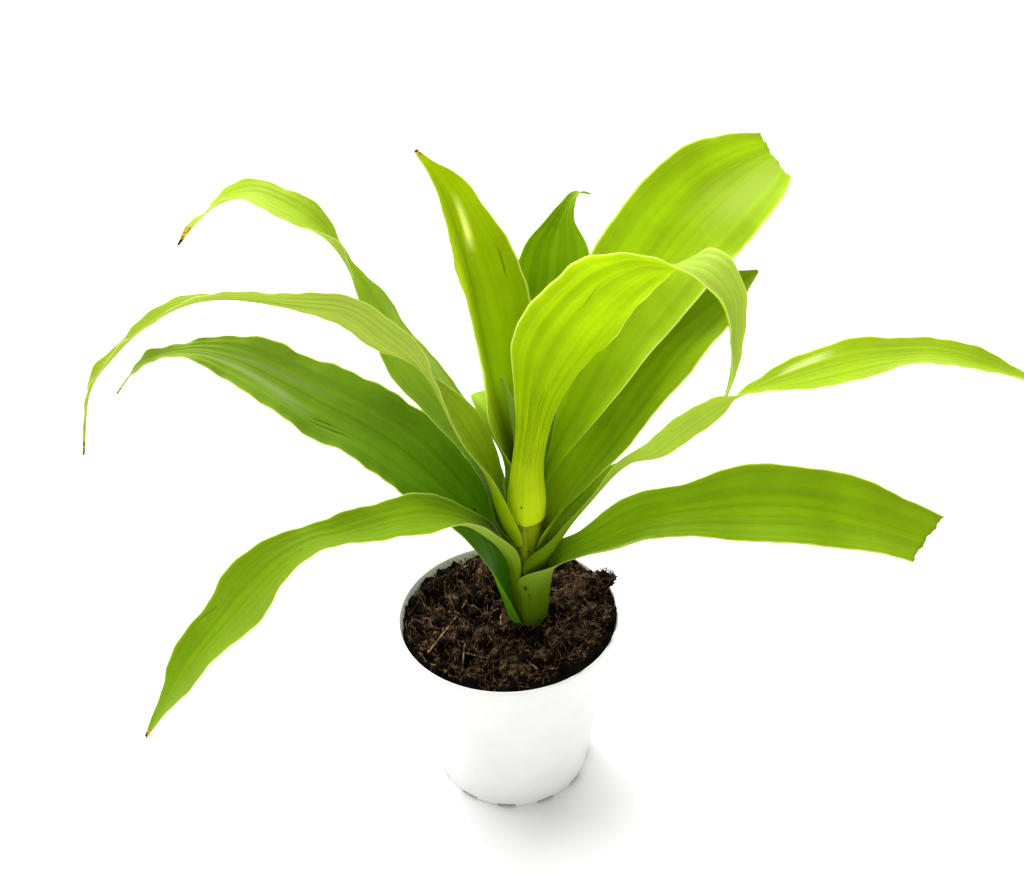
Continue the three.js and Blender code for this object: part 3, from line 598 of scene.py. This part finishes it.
class DRACAENA_OT_peat(Operator):
    """Dark peat with crumbs, clods, fibres and straws"""

    bl_idname = "dracaena.peat"
    bl_label = "Peat"

    def execute(self, context):
        soil, pot = context.scene.dracaena_soil, context.scene.dracaena_pot
        chance = random.Random(7)
        dark, dry = peat_material("moist_peat", soil, 0), peat_material("dry_peat", soil, 1)
        self.bed(soil, pot, dark)
        self.crumbs(soil, chance, dry)
        tufts = self.tufts(soil, chance)
        self.strands("peat_tufts", tufts, thick=0.14, material=fibre_material("peat_moss", soil.fibre))
        loose = self.trails(soil, pot, chance, soil.fibres, run=1.6, curl=0.7)
        self.strands("peat_fibres", loose, thick=0.11, material=fibre_material("peat_fibre", soil.root))
        straws = self.trails(soil, pot, chance, soil.sticks, run=3.4, curl=0.05)
        straws.append([[start + i * step for start, step in zip(*LONG_STRAW)] for i in range(5)])
        self.strands("peat_straws", straws, thick=0.42, material=fibre_material("straw", soil.straw))
        return {"FINISHED"}

    def bed(self, soil, pot, material):
        """The body of the peat, with a lumpy top."""
        top = soil.surface / MM
        gap = 0.3
        rings = 64
        outline = [(0, soil.bottom / MM), (wall_radius(pot, soil.bottom / MM) - gap, soil.bottom / MM)]
        outline += [((wall_radius(pot, top) - gap) * i / rings, top) for i in range(rings, -1, -1)]
        bm = bmesh.new()
        spun(bm, outline, 0, tau, 200)
        bmesh.ops.remove_doubles(bm, verts=bm.verts, dist=0.01 * MM)
        bmesh.ops.recalc_face_normals(bm, faces=bm.faces)
        for vert in bm.verts:
            if vert.co.z < soil.surface - MM:
                continue
            x, y = vert.co.x / MM, vert.co.y / MM
            z = peat_height(soil, x, y)
            fit = (wall_radius(pot, z) - gap) / (wall_radius(pot, top) - gap)
            vert.co = Vector((x * fit, y * fit, z)) * MM
        piece = new_object("peat_bed", bm, [material])
        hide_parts("soil")

    def crumbs(self, soil, chance, material):
        """Loose crumbs and clods, each a rough broken lump."""
        places = [(radians(a), out, z, r) for a, out, z, r in RIM_CLODS]
        for _ in range(soil.crumbs):
            azimuth, out = chance.uniform(0, tau), CRUMBS_REACH * chance.random() ** 0.5
            radius = 0.4 + 1.8 * chance.random() ** 2
            out = min(out, CRUMBS_EDGE - radius)
            height = peat_height(soil, *polar(azimuth, out)) + 0.25 * radius
            places.append((azimuth, out, height, radius))
        bm = bmesh.new()
        for azimuth, out, height, radius in places:
            x, y = polar(azimuth, out)
            if apart(x, y, STEM_AXIS) < CRUMBS_CLEAR + radius:
                continue
            lump = bmesh.new()
            bmesh.ops.create_icosphere(lump, subdivisions=5 if radius > 4 else 2, radius=radius * MM)
            seed = Vector((chance.random() * 90, chance.random() * 90, 0))
            stretch = Matrix.Diagonal((chance.uniform(0.8, 1.4), 1, chance.uniform(0.5, 0.9)))
            turn = Matrix.Rotation(chance.uniform(0, tau), 3, "Z") @ stretch
            for vert in lump.verts:
                rough = noise.fractal(vert.co * (2.2 / radius / MM) + seed, 0.6, 2.2, 5)
                vert.co = turn @ vert.co * (0.85 + 0.6 * rough) + Vector((x, y, height)) * MM
            mesh = bpy.data.meshes.new("lump")
            lump.to_mesh(mesh)
            lump.free()
            bm.from_mesh(mesh)
            bpy.data.meshes.remove(mesh)
        new_object("peat_crumbs", bm, [material])

    def tufts(self, soil, chance):
        """Paths of the short curled fibres that cover each tangled tuft."""
        paths = []
        centres = [(radians(a), out, z, r) for a, out, z, r in RIM_CLODS]
        for _ in range(soil.tufts):
            azimuth, out = chance.uniform(0, tau), TUFTS_REACH * chance.random() ** 0.5
            x, y = polar(azimuth, out)
            if apart(x, y, HOLLOW_PLACE) > TUFTS_OFF_HOLLOW:
                radius = chance.uniform(2, 5.5)
                centres.append((azimuth, out, peat_height(soil, x, y) - 0.4 * radius, radius))
        for azimuth, out, height, radius in centres:
            middle = Vector((*polar(azimuth, out), height))
            if apart(middle.x, middle.y, STEM_AXIS) < TUFTS_CLEAR + 0.6 * radius:
                continue
            for _ in range(round(12 * radius)):
                turn, rise = chance.uniform(0, tau), chance.uniform(0.05, 1)
                spot = Vector((cos(turn), sin(turn), rise)).normalized()
                along = Vector([chance.gauss(0, 1) for _ in range(3)]).normalized()
                path = []
                for _ in range(6):
                    path.append(tuple(middle + spot * radius * chance.uniform(0.8, 1.25)))
                    along = (along + 0.5 * Vector([chance.gauss(0, 1) for _ in range(3)])).normalized()
                    spot = (spot + along * chance.uniform(0.6, 1.3) / radius).normalized()
                paths.append(path)
        return paths

    def trails(self, soil, pot, chance, count, run, curl):
        """Paths of fibres that lie over the surface."""
        paths = []
        for _ in range(count):
            azimuth, out = chance.uniform(0, tau), FIBRES_REACH * chance.random() ** 0.5
            x, y = polar(azimuth, out)
            lift = chance.uniform(0.2, 1.6)
            heading, bend = chance.uniform(0, tau), chance.uniform(-curl, curl)
            step = run * chance.uniform(0.5, 1.3)
            path = []
            for i in range(5):
                z = peat_height(soil, x, y) + lift + 0.5 * i * (chance.random() - 0.4)
                if hypot(x, y) > wall_radius(pot, z) - 1 or apart(x, y, STEM_AXIS) < FIBRES_CLEAR:
                    break
                path.append((x, y, z))
                x, y = x + step * cos(heading), y + step * sin(heading)
                heading += bend
            if len(path) > 2:
                paths.append(path)
        return paths

    def strands(self, name, paths, thick, material):
        """Thin tapered tubes along the paths."""
        lines = bpy.data.curves.new(name, "CURVE")
        lines.dimensions = "3D"
        lines.bevel_depth = thick * MM
        lines.bevel_resolution = 0
        lines.use_fill_caps = True
        for path in paths:
            spline = lines.splines.new("POLY")
            spline.points.add(len(path) - 1)
            for i, (point, place) in enumerate(zip(spline.points, path)):
                point.co = [c * MM for c in place] + [1]
                point.radius = 1 - 0.6 * i / len(path)
        shape = bpy.data.objects.new(name, lines)
        mesh = bpy.data.meshes.new_from_object(shape)
        bpy.data.objects.remove(shape)
        bm = bmesh.new()
        bm.from_mesh(mesh)
        new_object(name, bm, [material])


def peat_material(name, soil, dryness):
    """Moist peat: nearly black and matte, with brown fibrous lumps where it dries."""
    material, tree, surface = new_material(name)
    place = add(tree, "TexCoord").outputs["Object"]
    lumps = add(tree, "TexNoise", {"Vector": place, "Scale": 260, "Detail": 6, "Roughness": 0.7})
    threads = add(tree, "TexNoise", {"Vector": place, "Scale": 1400, "Detail": 4, "Distortion": 2.5})
    mixed = add(tree, "MixRGB", {"Fac": 0.5, "Color1": lumps, "Color2": threads})
    low = 0.5 - 0.06 * dryness
    tones = [(low - 0.04, soil.peat), (low + 0.12, soil.dry_peat)]
    shade = add(tree, "ValToRGB", {"Fac": mixed}, stops=tones)
    bump = add(tree, "Bump", {"Strength": 0.9, "Distance": 0.8 * MM, "Height": mixed})
    shader = add(
        tree, "BsdfPrincipled",
        {"Base Color": shade, "Roughness": 0.9, "Specular IOR Level": 0.05, "Normal": bump},
    )
    tree.links.new(shader.outputs[0], surface)
    return material


def fibre_material(name, tone):
    """Dry plant fibre: pale tan to reddish brown from one fibre to the next."""
    material, tree, surface = new_material(name)
    place = add(tree, "TexCoord").outputs["Object"]
    patch = add(tree, "TexNoise", {"Vector": place, "Scale": 420, "Detail": 3})
    shade = add(
        tree, "ValToRGB", {"Fac": patch},
        stops=[(0.4, dimmed(tone, 0.1)), (0.52, dimmed(tone, 0.35)), (0.66, tone)],
    )
    shader = add(tree, "BsdfPrincipled", {"Base Color": shade, "Roughness": 0.7, "Specular IOR Level": 0.1})
    tree.links.new(shader.outputs[0], surface)
    return material


# ---- Stem ----
class DRACAENA_OT_stem(Operator):
    """Short green stem, faintly ringed by the scars of shed leaves"""

    bl_idname = "dracaena.stem"
    bl_label = "Stem"

    def execute(self, context):
        radii, heights = np.array(STEM_OUTLINE, float).T
        bm = bmesh.new()
        rows = [(0, heights[0])]
        for z in np.arange(heights[1], heights[-1], 0.8):
            scar = SCAR_HEIGHT * max(0, cos(tau * z / SCAR_PITCH)) ** 6
            rows.append((float(np.interp(z, heights[1:], radii[1:])) + scar, float(z)))
        rows.append((0, heights[-1]))
        spun(bm, rows, 0, tau, 48)
        bmesh.ops.remove_doubles(bm, verts=bm.verts, dist=0.01 * MM)
        bmesh.ops.recalc_face_normals(bm, faces=bm.faces)
        bmesh.ops.translate(bm, verts=bm.verts, vec=(STEM_AXIS[0] * MM, STEM_AXIS[1] * MM, 0))
        piece = new_object("ringed_stem", bm, [stem_skin()])
        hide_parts("stem")
        return {"FINISHED"}


def stem_skin():
    """Young green bark: smooth, olive and a little waxy, with faint upright streaks and brown flecks."""
    material, tree, surface = new_material("green_bark")
    place = add(tree, "TexCoord").outputs["Object"]
    upright = add(tree, "Mapping", {"Vector": place, "Scale": (420, 420, 30)})
    streak = add(tree, "TexNoise", {"Vector": upright, "Scale": 1, "Detail": 3})
    shade = add(
        tree, "ValToRGB", {"Fac": streak},
        stops=[(0.35, srgb("#5c6c02")), (0.55, srgb("#809004")), (0.7, srgb("#98a420"))],
    )
    fleck = add(tree, "TexNoise", {"Vector": place, "Scale": 420, "Detail": 4})
    fleck = add(tree, "MapRange", {"Value": fleck, "From Min": 0.64, "From Max": 0.7})
    shade = add(tree, "MixRGB", {"Fac": fleck, "Color1": shade, "Color2": srgb("#3c3010")})
    bump = add(tree, "Bump", {"Strength": 0.3, "Distance": 0.2 * MM, "Height": streak})
    shader = add(
        tree, "BsdfPrincipled",
        {"Base Color": shade, "Roughness": 0.5, "Specular IOR Level": 0.05, "Normal": bump},
    )
    tree.links.new(shader.outputs[0], surface)
    return material


# ---- Leaves ----
def blade(leaf, u, v, settings):
    """Upper face of a blade, in millimetres, at share v of its length and u of its half width, left at 1."""
    stations = np.array(leaf["stations"], float)
    samples = np.linspace(0, 1, 201)
    run = curve(stations[:, :3], samples)[0]
    length = np.concatenate([[0], np.cumsum(np.linalg.norm(np.diff(run, axis=0), axis=1))])
    # A cut tip is slanted and torn.
    cut = leaf["cut"]
    torn = 0.002 * np.sin(9 * u + 1) + 0.001 * np.sin(23 * u) + 0.0005 * np.sin(61 * u) if cut else 0
    along = np.clip(v * (1 - 0.5 * (abs(cut) + cut * u) - torn * smooth(0.9, 1, v)), 0, 1)
    t = np.interp(along, length / length[-1], samples)
    station, slope = curve(stations, t)
    heading = radians(leaf["heading"])
    axes = np.array([[cos(heading), sin(heading), 0], [0, 0, 1], [-sin(heading), cos(heading), 0]])
    middle = station[:, :3] @ axes + [*STEM_AXIS, 0]
    forward = unit(slope[:, :3] @ axes)
    left = unit(axes[2] - forward * (forward @ axes[2])[:, None])
    up = np.cross(forward, left)
    half, roll, curl = station[:, 3], np.radians(station[:, 4]), np.radians(station[:, 5])
    turn, lean = np.cos(roll)[:, None], np.sin(roll)[:, None]
    side, normal = left * turn + up * lean, up * turn - left * lean
    radius = half / curl
    # Broad waves above the sheath, out of step between the two halves.
    fade = smooth(0.2, 0.4, along) * smooth(0, 0.12, 1 - along)
    ripple = tau * along * length[-1] / leaf["wave_length"] + leaf["phase"]
    wave = leaf["wave"] * fade * u * u * np.sin(ripple + np.where(u > 0, 1.9, 0))
    # Pleats along the veins, which die out at the margin, the root and the tip.
    folds = np.sin(6.5 * pi * np.abs(u) + 0.5 * np.sin(3 * v + leaf["phase"])) * (1 - np.abs(u) ** 4)
    pleat = leaf["pleats"] * folds * smooth(0.08, 0.25, along) * smooth(0, 0.3, 1 - along)
    # Small uneven waves at the margin, unlike on the other half and on other leaves.
    place = along * length[-1] + 40 * leaf["phase"] + np.where(u > 0, 17, 0)
    frill = np.sin(place / 2.3) * np.sin(place / 5.1 + 1) + 0.6 * np.sin(place / 3.7 + 2)
    frill = leaf["frill"] * settings.frill / MM * frill * fade * np.abs(u) ** 5
    crease = leaf.get("crease", settings.crease)
    lift = radius * (1 - np.cos(u * curl)) + crease * half * np.abs(u) * fade
    lift = lift + wave + pleat + frill + PROUD
    return middle + side * (radius * np.sin(u * curl))[:, None] + normal * lift[:, None], length[-1]


class DRACAENA_OT_leaves(Operator):
    """Strap leaves that clasp the stem and arch over, with pleats, waved margins and torn or withered tips"""

    bl_idname = "dracaena.leaves"
    bl_label = "Leaves"

    def execute(self, context):
        settings = context.scene.dracaena_leaf
        rim = margin_material(settings)
        for name, own in LEAVES.items():
            leaf = {**USUAL_LEAF, **own}
            upper = leaf_material(name + "_upper", leaf, settings, under=False)
            under = leaf_material(name + "_under", leaf, settings, under=True)
            self.leaf(name, leaf, settings, [upper, under, rim])
        return {"FINISHED"}

    def leaf(self, name, leaf, settings, materials):
        """One leaf: a fine grid laid on its upper face, and thickened downwards."""
        widest = max(station[3] for station in leaf["stations"])
        ends = np.array([[0.0, 0.0]])
        length = blade(leaf, ends[:, 0], ends[:, 1], settings)[1]
        columns = 2 * round(widest / (settings.column / MM))
        rows = round(length / (settings.row / MM))
        bm = bmesh.new()
        bm.loops.layers.uv.new("UVMap")
        bmesh.ops.create_grid(bm, x_segments=columns, y_segments=rows, size=1, calc_uvs=True)
        grid = np.array([vert.co[:2] for vert in bm.verts])
        u, v = -grid[:, 0], (grid[:, 1] + 1) / 2
        points = blade(leaf, u, v, settings)[0]
        weights = bm.verts.layers.deform.verify()
        # The blade thins towards its margins, and its midrib dies out towards the tip.
        thin = settings.blade / settings.midrib
        share = thin * (1 - 0.5 * np.abs(u) ** 3) + (1 - thin) * np.exp(-((u * 5) ** 2)) * (1 - v) ** 1.5
        for vert, point, thick in zip(bm.verts, points, share):
            vert.co = Vector(point) * MM
            vert[weights][0] = float(thick)
        piece = new_object(name + "_blade", bm, materials)
        piece.vertex_groups.new(name="thickness")
        shell = piece.modifiers.new("thickness", "SOLIDIFY")
        shell.thickness = settings.midrib
        shell.offset = -1
        shell.vertex_group = "thickness"
        shell.material_offset = 1
        shell.material_offset_rim = 2
        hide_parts(name)


def away(tree, value, place):
    """How far a value is from a place, either way."""
    gap = add(tree, "Math", {0: value, 1: place}, operation="SUBTRACT")
    return add(tree, "Math", {0: gap}, operation="ABSOLUTE")


def marked(tree, green, marks, across, along, fine):
    """The blade's colour with its scratches, specks and pale streaks, most of these painted sheen and painted
    highlights. Veins show through the wide ones.
    """
    patchy = add(tree, "MapRange", {"Value": fine, "From Min": 0.35, "From Max": 0.6, "To Min": 0.35})
    for left, start, right, end, wide, code in marks:
        path = {"Value": along, "From Min": start, "From Max": end, "To Min": left, "To Max": right}
        aside = away(tree, across, add(tree, "MapRange", path))
        near = add(tree, "MapRange", {"Value": aside, "From Min": wide, "From Max": wide * 0.2})
        beyond = away(tree, along, (start + end) / 2)
        half = abs(end - start) / 2
        within = add(tree, "MapRange", {"Value": beyond, "From Min": half * 1.3, "From Max": half * 0.5})
        mark = add(tree, "Math", {0: near, 1: within}, operation="MULTIPLY")
        if wide > WIDE_MARK:
            mark = add(tree, "Math", {0: mark, 1: patchy}, operation="MULTIPLY")
        green = add(tree, "MixRGB", {"Fac": mark, "Color1": green, "Color2": srgb(code)})
    return green


def withered(tree, green, dead, dry, along, place):
    """The blade's colour with its tip dying back: yellow with rust spots, and then dead."""
    yellow = add(tree, "MapRange", {"Value": along, "From Min": 1 - 2.6 * dead, "From Max": 1 - 2.2 * dead})
    rust = add(tree, "TexNoise", {"Vector": place, "Scale": 700, "Detail": 2})
    rust = add(tree, "ValToRGB", {"Fac": rust}, stops=[(0.45, srgb("#d8c838")), (0.6, srgb("#8c5a20"))])
    brown = add(tree, "MapRange", {"Value": along, "From Min": 1 - dead, "From Max": 1 - 0.7 * dead})
    for share, over in ((yellow, rust), (brown, dry)):
        green = add(tree, "MixRGB", {"Fac": share, "Color1": green, "Color2": over})
    return green


def leaf_material(name, leaf, settings, under):
    """Living dracaena leaf: waxy, lit through from behind, its parallel veins drawn in paler streaks, with a
    painted sheen on its upper face and a painted glow along its margin.
    """
    material, tree, surface = new_material(name)
    sheath, middle, tip = (srgb(code) for code in leaf["greens"])
    coordinates = add(tree, "TexCoord")
    uv, place = coordinates.outputs["UV"], coordinates.outputs["Object"]
    split = add(tree, "SeparateXYZ", {"Vector": uv})
    across, along = split.outputs["X"], split.outputs["Y"]
    off = away(tree, across, 0.5)
    green = add(tree, "ValToRGB", {"Fac": along}, stops=[(0.03, sheath), (0.3, middle), (0.9, tip)])
    # Broad soft streaks along the blade, clouds, and fine uneven veins, which differ from leaf to leaf.
    seed = (len(name), leaf["heading"])
    broad = add(tree, "Mapping", {"Vector": uv, "Scale": (9, 0.7, 1), "Location": (*seed, 0)})
    broad = add(tree, "TexNoise", {"Vector": broad, "Scale": 1, "Detail": 3, "Roughness": 0.5})
    cloud = add(tree, "TexNoise", {"Vector": place, "Scale": 40, "Detail": 3})
    fine = add(tree, "Mapping", {"Vector": uv, "Scale": (100, 0.6, 1), "Location": (*seed[::-1], 0)})
    fine = add(tree, "TexNoise", {"Vector": fine, "Scale": 1, "Detail": 2, "Roughness": 0.4})
    for patches in (broad, cloud):
        spread = {"Value": patches, "From Min": 0.35, "From Max": 0.65, "To Min": 0.9, "To Max": 1.08}
        tone = add(tree, "MapRange", spread)
        tone = add(tree, "CombineXYZ", {0: tone, 1: tone, 2: tone})
        green = add(tree, "MixRGB", {"Fac": 1.0, "Color1": green, "Color2": tone}, blend_type="MULTIPLY")
    # The pale face starts above the sheath: a painted sheen on the upper face and the own paler colour of the
    # lower one.
    # So do the pale veins, which show most where the face is pale, and the painted glow at the margin. The
    # midrib is darker.
    above = add(tree, "MapRange", {"Value": along, "From Min": 0.12, "From Max": leaf["clear"]})
    pale = add(tree, "Math", {0: above, 1: leaf["sheen_and_pale_underside"][under]}, operation="MULTIPLY")
    vein = add(tree, "MapRange", {"Value": fine, "From Min": 0.5, "From Max": 0.63})
    strength = add(tree, "Math", {0: pale, 1: 0.6, 2: 0.04}, operation="MULTIPLY_ADD")
    vein = add(tree, "Math", {0: vein, 1: strength}, operation="MULTIPLY")
    rib = {"Value": off, "From Min": 0.016, "From Max": 0.004, "To Max": leaf["rib"]}
    rib = add(tree, "MapRange", rib)
    for share, over in ((pale, settings.pale), (vein, srgb("#dce88c")), (rib, srgb("#4c7804"))):
        green = add(tree, "MixRGB", {"Fac": share, "Color1": green, "Color2": over})
    green = marked(tree, green, leaf["marks"], across, along, fine)
    # A painted glow along the margin, pale where light comes through the thin edge.
    edge = add(tree, "MapRange", {"Value": off, "From Min": 0.478, "From Max": 0.492, "To Max": 0.85})
    edge = add(tree, "Math", {0: edge, 1: above}, operation="MULTIPLY")
    green = add(tree, "MixRGB", {"Fac": edge, "Color1": green, "Color2": settings.margin})
    if leaf["withered"]:
        green = withered(tree, green, leaf["withered"], settings.dry, along, place)
    relief = add(tree, "Math", {0: broad, 1: 0.4, 2: fine}, operation="MULTIPLY_ADD")
    bump = add(tree, "Bump", {"Strength": 0.3, "Distance": 0.25 * MM, "Height": relief})
    rough = {"Value": broad, "From Min": 0.3, "From Max": 0.7, "To Min": 0.34, "To Max": 0.5}
    rough = 0.55 if under else add(tree, "MapRange", rough)
    principled = add(
        tree, "BsdfPrincipled",
        {"Base Color": green, "Roughness": rough, "IOR": 1.4, "Specular IOR Level": 0.05 if under else 0.16,
         "Specular Tint": (1, 1, 0.3, 1), "Normal": bump},
    )
    # Light that has passed through a leaf has lost its blue.
    through = {"Fac": 1.0, "Color1": green, "Color2": (1.42, 1.25, 0.25, 1)}
    through = add(tree, "MixRGB", through, blend_type="MULTIPLY")
    translucent = add(tree, "BsdfTranslucent", {"Color": through, "Normal": bump})
    shader = add(tree, "MixShader", {"Fac": leaf["glow"], 1: principled, 2: translucent})
    tree.links.new(shader.outputs[0], surface)
    return material


def margin_material(settings):
    """The thin edge of a leaf: plain green round the stem, and above it a painted glow, pale where light comes
    through the blade.
    """
    material, tree, surface = new_material("leaf_margin")
    coordinates = add(tree, "TexCoord")
    patch = add(tree, "TexNoise", {"Vector": coordinates.outputs["Object"], "Scale": 90, "Detail": 3})
    pale = add(
        tree, "ValToRGB", {"Fac": patch},
        stops=[(0.35, dimmed(settings.margin, 0.8)), (0.65, settings.margin)],
    )
    along = add(tree, "SeparateXYZ", {"Vector": coordinates.outputs["UV"]}).outputs["Y"]
    above = add(tree, "MapRange", {"Value": along, "From Min": 0.15, "From Max": 0.35})
    shade = add(tree, "MixRGB", {"Fac": above, "Color1": srgb("#7c9414"), "Color2": pale})
    principled = add(tree, "BsdfPrincipled", {"Base Color": shade, "Roughness": 0.5})
    translucent = add(tree, "BsdfTranslucent", {"Color": shade})
    shader = add(tree, "MixShader", {"Fac": 0.4, 1: principled, 2: translucent})
    tree.links.new(shader.outputs[0], surface)
    return material


# ---- Stage ----
class DRACAENA_OT_stage(Operator):
    """Pale floor, soft studio light and the camera"""

    bl_idname = "dracaena.stage"
    bl_label = "Stage"

    def execute(self, context):
        stage = context.scene.dracaena_stage
        self.floor(stage, context.scene)
        self.lights(context.scene)
        self.camera(stage, context.scene)
        context.scene.view_settings.view_transform = "Standard"
        return {"FINISHED"}

    def floor(self, stage, scene):
        bm = bmesh.new()
        bmesh.ops.create_grid(bm, x_segments=1, y_segments=1, size=stage.reach)
        mesh = bpy.data.meshes.new("studio_floor")
        bm.to_mesh(mesh)
        bm.free()
        material, tree, surface = new_material("pale_paper")
        place = add(tree, "TexCoord").outputs["Object"]
        grain = add(tree, "TexNoise", {"Vector": place, "Scale": 900, "Detail": 2})
        tones = [(0.3, dimmed(stage.paper, 0.99)), (0.7, stage.paper)]
        shade = add(tree, "ValToRGB", {"Fac": grain}, stops=tones)
        shader = {"Base Color": shade, "Roughness": 0.9, "Specular IOR Level": 0.1}
        shader = add(tree, "BsdfPrincipled", shader)
        tree.links.new(shader.outputs[0], surface)
        mesh.materials.append(material)
        floor = bpy.data.objects.new("studio_floor", mesh)
        scene.collection.objects.link(floor)

    def lights(self, scene):
        """A bright room, a wide softbox overhead and a large one behind the plant, above the view."""
        world = bpy.data.worlds.new("studio")
        world.use_nodes = True
        background = world.node_tree.nodes["Background"].inputs
        background["Color"].default_value = (1, 1, 1, 1)
        background["Strength"].default_value = 0.65
        scene.world = world
        sun = bpy.data.lights.new("overhead_softbox", "SUN")
        sun.energy = 3.2
        sun.angle = radians(50)
        lamp = bpy.data.objects.new("overhead_softbox", sun)
        lamp.rotation_euler = (radians(-18), radians(-22), 0)
        scene.collection.objects.link(lamp)
        panel = bpy.data.lights.new("back_softbox", "AREA")
        panel.shape = "RECTANGLE"
        panel.size, panel.size_y = 3, 1.6
        panel.energy = 60
        lamp = bpy.data.objects.new("back_softbox", panel)
        place = Vector((0.2, 2.2, 1.9))
        lamp.matrix_world = Matrix.Translation(place) @ place.to_track_quat("Z", "Y").to_matrix().to_4x4()
        scene.collection.objects.link(lamp)

    def camera(self, stage, scene):
        lens = bpy.data.cameras.new("camera")
        lens.sensor_width = 36
        lens.lens = stage.lens
        lens.clip_start = 0.01
        lens.clip_end = 100
        camera = bpy.data.objects.new("camera", lens)
        forward = Vector((0, cos(stage.pitch), -sin(stage.pitch)))
        turn = Matrix.Rotation(-stage.roll, 4, forward) @ Matrix.Rotation(pi / 2 - stage.pitch, 4, "X")
        place = Vector((stage.aim_right, 0, stage.target)) - forward * stage.distance
        camera.matrix_world = Matrix.Translation(place) @ turn
        scene.collection.objects.link(camera)
        scene.camera = camera


class DRACAENA_PT_sidebar(Panel):
    """Buttons for each group of pieces"""

    bl_label = "Potted dracaena"
    bl_space_type = "VIEW_3D"
    bl_region_type = "UI"
    bl_category = "Plant"

    def draw(self, context):
        for operator in OPERATORS:
            self.layout.operator(operator.bl_idname)


SETTINGS = {
    "dracaena_pot": PotSettings,
    "dracaena_soil": SoilSettings,
    "dracaena_leaf": LeafSettings,
    "dracaena_stage": StageSettings,
}
OPERATORS = (DRACAENA_OT_stage, DRACAENA_OT_pot, DRACAENA_OT_peat, DRACAENA_OT_stem, DRACAENA_OT_leaves)


def register():
    for group in (*SETTINGS.values(), *OPERATORS, DRACAENA_PT_sidebar):
        bpy.utils.register_class(group)
    for name, group in SETTINGS.items():
        setattr(bpy.types.Scene, name, PointerProperty(type=group))


def unregister():
    for name in SETTINGS:
        delattr(bpy.types.Scene, name)
    for group in (DRACAENA_PT_sidebar, *OPERATORS, *SETTINGS.values()):
        bpy.utils.unregister_class(group)


def main():
    register()
    bpy.ops.dracaena.stage()
    bpy.ops.dracaena.pot()
    bpy.ops.dracaena.peat()
    bpy.ops.dracaena.stem()
    bpy.ops.dracaena.leaves()


if __name__ == "__main__":
    main()
